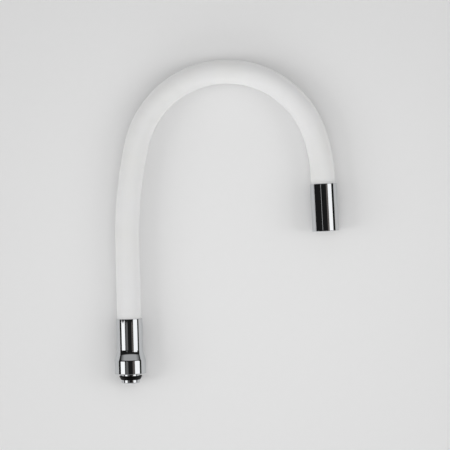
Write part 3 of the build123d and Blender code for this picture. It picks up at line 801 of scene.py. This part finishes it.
class SPOUT_OT_inlet_spigot(Operator):
    """Turn the inlet spigot, with its grooves, flange, socket and hose barb"""

    bl_idname = "spout.inlet_spigot"
    bl_label = "Inlet spigot"

    def execute(self, context):
        sizes = settings().spigot
        stem = sizes.diameter / 2
        groove = sizes.groove / 2
        flange_top = sizes.flange + sizes.flange_thickness
        ledge = flange_top + sizes.crimp_room
        mouth = flange_top + sizes.socket_length
        water_way_top = sizes.flange - sizes.barb_base
        crest = sizes.barb_diameter / 2
        valley = crest - sizes.barb_ring_depth
        barb_top = ledge - sizes.barb_short
        edge = 0.15 * MM
        room = 0.05 * MM
        barb = [(valley, flange_top, 0.3 * MM)]
        for number in range(sizes.barb_rings):
            step = barb_top - (sizes.barb_rings - number) * sizes.barb_ring_width
            barb += [(valley, step, 0), (crest, step, 0.05 * MM)]
        shape = outline(
            (sizes.bore / 2, sizes.nose, edge),
            (stem - sizes.nose_chamfer, sizes.nose, 0.3 * MM),
            (stem, sizes.nose + sizes.nose_chamfer, 0.3 * MM),
            (stem, sizes.ring_foot - room, edge),
            (groove, sizes.ring_foot - room, edge),
            (groove, sizes.ring_top + room, edge),
            (stem, sizes.ring_top + room, edge),
            (stem, sizes.snap_groove_foot, edge),
            (groove, sizes.snap_groove_foot, edge),
            (groove, sizes.snap_groove_top, edge),
            (stem, sizes.snap_groove_top, edge),
            (stem, sizes.flange, 0.4 * MM),
            (sizes.flange_diameter / 2, sizes.flange, 0.25 * MM),
            (sizes.flange_diameter / 2, flange_top, 0.25 * MM),
            (sizes.socket_diameter / 2, flange_top, 0.04 * MM),
            (sizes.socket_diameter / 2, mouth, 0.4 * MM),
            (sizes.socket_bore / 2, mouth, 0.4 * MM),
            (sizes.socket_bore / 2, ledge, 0.1 * MM),
            (sizes.crimp_bore / 2, ledge, edge),
            (sizes.crimp_bore / 2, flange_top, 0.3 * MM),
            *barb,
            (valley, barb_top, 0),
            (sizes.barb_bore / 2, barb_top, 0.1 * MM),
            (sizes.barb_bore / 2, water_way_top, 0.2 * MM),
            (sizes.bore / 2, water_way_top, 0.5 * MM),
        )
        place = axis_frames((0, 0, 0), INLET_UP)
        spigot = swept_piece("inlet_spigot_plated", shape, place, "chrome")
        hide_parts("inlet_spigot")
        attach(spigot, "spout")
        return {"FINISHED"}


class SPOUT_OT_seals(Operator):
    """Mould the seal ring on the spigot and the two flat seals in the outlet"""

    bl_idname = "spout.seals"
    bl_label = "Seals"

    def execute(self, context):
        sizes = settings().spigot
        inner = sizes.groove / 2 + 0.05 * MM
        widest = sizes.ring_diameter / 2
        ring = outline(
            (inner, sizes.ring_foot, 0.2 * MM),
            (sizes.ring_foot_diameter / 2, sizes.ring_foot, 0.3 * MM),
            (widest, sizes.ring_top - sizes.ring_shoulder, 0.35 * MM),
            (widest, sizes.ring_top, 0.4 * MM),
            (inner, sizes.ring_top, 0.2 * MM),
        )
        pieces = [("seal_ring", "spout", ring, (0, 0, 0), INLET_UP)]
        out = settings().outlet
        washer = "aerator_washer"
        for node, body, diameter, hole, foot, top in [
            ("adapter_seal", "outlet", out.seal_diameter, out.web_bore, out.seal_foot, out.seal_top),
            (washer, washer, out.washer_diameter, out.washer_bore, out.washer_foot, out.washer_top),
        ]:
            outer, inside, edge = diameter / 2, hole / 2, 0.2 * MM
            flat = outline(
                (inside, foot, edge), (outer, foot, edge), (outer, top, edge), (inside, top, edge)
            )
            pieces.append((node, body, flat, OUTLET_RIM, OUTLET_UP))
        for node, body, shape, origin, up in pieces:
            place = axis_frames(origin, up)
            seal = swept_piece(f"{node}_moulded", shape, place, "rubber")
            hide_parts(node)
            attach(seal, body)
        return {"FINISHED"}


def neck_pieces(name, shape_between, look, node):
    """Makes a tube along the neck as one piece for each joint, and a rigid piece at each end.

    The pieces meet halfway between two joints, where the neck stays stiff. The two end pieces ride on the
    first and the last body; the pieces between them stay where they are made.
    """
    at = stations()
    first = at[0] - settings().neck.first_reach
    last = at[-1] + settings().neck.last_reach
    meets = [first, *((a + b) / 2 for a, b in zip(at, at[1:])), last]
    bodies = [NECK_JOINTS[0]["parent"], *(joint["child"] for joint in NECK_JOINTS)]
    segments = settings().hose_segments
    for number, (start, end) in enumerate(zip([None, *meets], [*meets, None])):
        shape = shape_between(start, end)
        piece = swept_piece(f"{name}_{number:02d}", shape, neck_frames, look, segments)
        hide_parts(node)
        if start is None or end is None:
            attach(piece, bodies[0] if start is None else bodies[-1])
        else:
            ends = centreline(np.array([start, end]))[0]
            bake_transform(piece)


class SPOUT_OT_hose(Operator):
    """Sweep the silicone hose along the neck, in lengths that meet between the joints"""

    bl_idname = "spout.hose"
    bl_label = "Silicone hose"

    def execute(self, context):
        sizes = settings().neck
        outer, bore, wide = sizes.hose_diameter / 2, sizes.hose_bore / 2, sizes.socket_bore / 2
        foot, tip = sizes.hose_foot, route_length() - sizes.hose_tip

        def shape_between(start, end):
            edge = sizes.end_round
            low = [(bore, start, 0), (outer, start, 0)]
            high = [(outer, end, 0), (bore, end, 0)]
            if start is None:
                step = foot + sizes.socket_depth
                low = [(bore, step, 0), (wide, step, 0), (wide, foot, edge), (outer, foot, edge)]
            if end is None:
                step = tip - sizes.socket_depth
                high = [(outer, tip, edge), (wide, tip, edge), (wide, step, 0), (bore, step, 0)]
            return divided(outline(*low, *high), sizes.ring_step)

        neck_pieces("neck_hose", shape_between, "silicone", "silicone_sleeve")
        return {"FINISHED"}


class SPOUT_OT_water_tube(Operator):
    """Sweep the water tube along the neck, in lengths that meet between the joints"""

    bl_idname = "spout.water_tube"
    bl_label = "Water tube"

    def execute(self, context):
        sizes = settings().neck
        outer, bore = sizes.tube_diameter / 2, sizes.tube_bore / 2
        foot = sizes.hose_foot + sizes.tube_lift
        tip = route_length() - sizes.hose_tip - sizes.tube_lift

        def shape_between(start, end):
            low, high = foot if start is None else start, tip if end is None else end
            corners = [(bore, low, 0), (outer, low, 0), (outer, high, 0), (bore, high, 0)]
            return divided(outline(*corners), 2 * sizes.ring_step)

        neck_pieces("water_tube", shape_between, "tube", "water_tube")
        return {"FINISHED"}


class SPOUT_OT_outlet_sleeve(Operator):
    """Turn the outlet sleeve, with its web and the fine thread for the aerator"""

    bl_idname = "spout.outlet_sleeve"
    bl_label = "Outlet sleeve"

    def execute(self, context):
        sizes = settings().outlet
        outer = sizes.diameter / 2
        bore = sizes.aerator_bore / 2
        shape = outline(
            (bore, 0, 0.25 * MM),
            (outer, 0, sizes.edge_round),
            (outer, sizes.sleeve_length, sizes.edge_round),
            (sizes.hose_bore / 2, sizes.sleeve_length, 0.3 * MM),
            (sizes.hose_bore / 2, sizes.web_top, 0.3 * MM),
            (sizes.web_bore / 2, sizes.web_top, 0.2 * MM),
            (sizes.web_bore / 2, sizes.web_foot, 0.2 * MM),
            (sizes.chamber / 2, sizes.web_foot, 0.5 * MM),
            (sizes.chamber / 2, sizes.seat, 0.1 * MM),
            (bore, sizes.seat, 0.1 * MM),
        )
        thread_foot = sizes.thread_short
        thread_top = sizes.seat - sizes.thread_short
        surface = thread_surface(bore, sizes.thread_depth, sizes.thread_pitch, thread_foot, thread_top)
        sleeve = swept_piece(
            "outlet_sleeve_plated",
            divided(shape, SLEEVE_THREAD_STEP, sizes.seat),
            axis_frames(OUTLET_RIM, OUTLET_UP),
            "chrome",
            thread=(surface, thread_foot, thread_top, bore + 0.01 * MM),
        )
        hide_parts("outlet_sleeve")
        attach(sleeve, "outlet")
        return {"FINISHED"}


class SPOUT_OT_carried_parts(Operator):
    """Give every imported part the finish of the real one, also those that get a new shape"""

    bl_idname = "spout.carried_parts"
    bl_label = "Carried parts"

    def execute(self, context):
        finishes = {
            "union_nut": "chrome",
            "inlet_spigot": "chrome",
            "outlet_sleeve": "chrome",
            "seal_ring": "rubber",
            "adapter_seal": "rubber",
            "aerator_washer": "rubber",
            "silicone_sleeve": "silicone",
            "water_tube": "tube",
            "outlet_adapter": "brass",
            "lock_nut": "brass",
            "aerator_housing": "nickel",
            "aerator_insert": "acetal",
            "flow_regulator": "acetal",
            "slip_washer": "acetal",
            "snap_ring": "acetal",
        }
        for name, node in frame["nodes"].items():
            material = finish(finishes.get(name, "steel"))
            for slot in node.material_slots:
                slot.material = material
        return {"FINISHED"}


class SPOUT_OT_stage(Operator):
    """Set the board behind the spout, the lamps, the world and the camera"""

    bl_idname = "spout.stage"
    bl_label = "Stage"

    def execute(self, context):
        scene = context.scene
        back = settings().nut.skirt_diameter / 2 + 0.05 * MM
        half = 3.0
        cards_away = 3.0
        mesh = bpy.data.meshes.new("board")
        corners = [(-half, back, -half), (half, back, -half), (half, back, half), (-half, back, half)]
        mesh.from_pydata(corners, [], [(0, 1, 2, 3)])
        mesh.materials.append(finish("table"))
        board = bpy.data.objects.new("board", mesh)
        scene.collection.objects.link(board)
        board.visible_shadow = False

        def lamp(name, place, width, height, radiance, tint=(1.0, 1.0, 1.0), glossy=True):
            """A rectangular lamp of even brightness at a place, turned to the object."""
            light = bpy.data.lights.new(name, "AREA")
            light.shape = "RECTANGLE"
            light.size, light.size_y = width, height
            light.energy = radiance * pi * width * height
            light.color = tint
            lamp_object = bpy.data.objects.new(name, light)
            lamp_object.location = place
            aim = Vector((0, 0, place[2])) if glossy else Vector((0.1, 0, 0.15))
            lamp_object.rotation_mode = "QUATERNION"
            lamp_object.rotation_quaternion = (aim - Vector(place)).to_track_quat("-Z", "Y")
            lamp_object.visible_camera = False
            lamp_object.visible_glossy = glossy
            scene.collection.objects.link(lamp_object)

        def card(name, left, right, low, high, radiance, tint=(1.0, 1.0, 1.0)):
            """A card that the chrome mirrors, far off between two bearings and two heights.

            Bearings are in degrees, 0 towards the camera and rising to the right.
            """
            middle, spread_half = radians(left + right) / 2, radians(right - left) / 2
            place = (cards_away * sin(middle), -cards_away * cos(middle), (low + high) / 2)
            lamp(name, place, 2 * cards_away * tan(spread_half), high - low, radiance, tint)

        warm = (1.0, 0.88, 0.82)
        card("right_softbox_low", 36.5, 75.0, -0.50, 0.0, 1.4)
        card("right_softbox_high", 36.0, 68.5, 0.0, 0.50, 1.4)
        card("left_softbox", -71.0, -37.7, -0.46, -0.125, 1.45)
        card("grey_card_left", -31.0, -12.5, -0.46, -0.125, 0.15)
        card("grey_card_right_low", 20.0, 35.5, -0.50, -0.125, 0.13, warm)
        card("grey_card_right_high", 22.0, 35.0, 0.0, 0.50, 0.17, warm)
        card("grey_line", -24.2, -21.6, 0.05, 0.50, 0.62)
        lamp("window_low", (0.0, -0.85, -1.6), 2.0, 1.2, 1.3, glossy=False)
        lamp("window_left", (-2.0, -1.5, -0.1), 1.5, 1.5, 2.15, glossy=False)
        lamp("window_right", (1.4, -1.0, 0.15), 0.8, 0.8, 1.2, glossy=False)
        lamp("front_fill", (0.12, -0.45, 0.13), 0.3, 0.3, 1.25, glossy=False)
        lamp("back_fill", (0.1, 0.6, 0.15), 3.0, 3.0, 0.4, glossy=False)

        world = bpy.data.worlds.new("studio")
        world.use_nodes = True
        tree = world.node_tree
        tree.nodes.clear()
        # Chrome mirrors a floor that darkens upwards, and a ceiling. All else is lit evenly, and a
        # view past the board sees the backdrop.
        even_light, backdrop = 0.445, 0.8
        ray = put(tree, "ShaderNodeLightPath")
        direction = put(tree, "ShaderNodeTexCoord")["Generated"]
        up = put(tree, "ShaderNodeSeparateXYZ", {0: direction})["Z"]
        floor = put(tree, "ShaderNodeMapRange", {"Value": up, 1: -0.7, 2: -0.45, 3: 0.1, 4: 0.016})
        ceiling = put(tree, "ShaderNodeMapRange", {"Value": up, 1: 0.38, 2: 0.47, 3: floor[0], 4: 0.50})
        light = put(tree, "ShaderNodeMix", {0: ray["Is Glossy Ray"], 2: even_light, 3: ceiling[0]})
        strength = put(tree, "ShaderNodeMix", {0: ray["Is Camera Ray"], 2: light[0], 3: backdrop})
        glow = put(tree, "ShaderNodeBackground", {"Color": (1.0, 1.0, 1.0, 1.0), "Strength": strength[0]})
        put(tree, "ShaderNodeOutputWorld", {"Surface": glow[0]})
        scene.world = world

        # A long lens squarely in front of the board, rolled as the photograph is
        centre_x, centre_z, distance, tilt = 98.2 * MM, 145.9 * MM, 1.6, radians(1.5)
        camera = bpy.data.objects.new("camera", bpy.data.cameras.new("camera"))
        camera.data.sensor_width, camera.data.lens = 36, 128
        camera.data.clip_start, camera.data.clip_end = 0.01, 20
        camera.matrix_world = Matrix(
            (
                (cos(tilt), sin(tilt), 0, centre_x),
                (0, 0, -1, -distance),
                (-sin(tilt), cos(tilt), 0, centre_z),
                (0, 0, 0, 1),
            )
        )
        scene.collection.objects.link(camera)
        scene.camera = camera
        scene.view_settings.view_transform = "Standard"
        return {"FINISHED"}


class SPOUT_PT_sidebar(Panel):
    """Lists the pieces of the spout and their sizes"""

    bl_idname = "SPOUT_PT_sidebar"
    bl_label = "Flexible tap spout"
    bl_space_type = "VIEW_3D"
    bl_region_type = "UI"
    bl_category = "Tap spout"

    def draw(self, context):
        layout = self.layout
        for operator in OPERATORS:
            layout.operator(operator.bl_idname)
        spout = context.scene.tap_spout
        for group in (spout.route, spout.neck, spout.nut, spout.spigot, spout.outlet, spout.colours):
            box = layout.box()
            for name in group.__annotations__:
                box.prop(group, name)


GROUPS = (RouteSizes, NeckSizes, NutSizes, SpigotSizes, OutletSizes, SpoutColours, SpoutSettings)
OPERATORS = (
    SPOUT_OT_stage,
    SPOUT_OT_carried_parts,
    SPOUT_OT_union_nut,
    SPOUT_OT_inlet_spigot,
    SPOUT_OT_seals,
    SPOUT_OT_hose,
    SPOUT_OT_water_tube,
    SPOUT_OT_outlet_sleeve,
)


def register():
    for item in (*GROUPS, *OPERATORS, SPOUT_PT_sidebar):
        bpy.utils.register_class(item)
    bpy.types.Scene.tap_spout = PointerProperty(type=SpoutSettings)


def unregister():
    del bpy.types.Scene.tap_spout
    for item in reversed((*GROUPS, *OPERATORS, SPOUT_PT_sidebar)):
        bpy.utils.unregister_class(item)


def main():
    register()
    bpy.ops.spout.stage()
    bpy.ops.spout.carried_parts()
    bpy.ops.spout.union_nut()
    bpy.ops.spout.inlet_spigot()
    bpy.ops.spout.seals()
    bpy.ops.spout.hose()
    bpy.ops.spout.water_tube()
    bpy.ops.spout.outlet_sleeve()


if __name__ == "__main__":
    main()
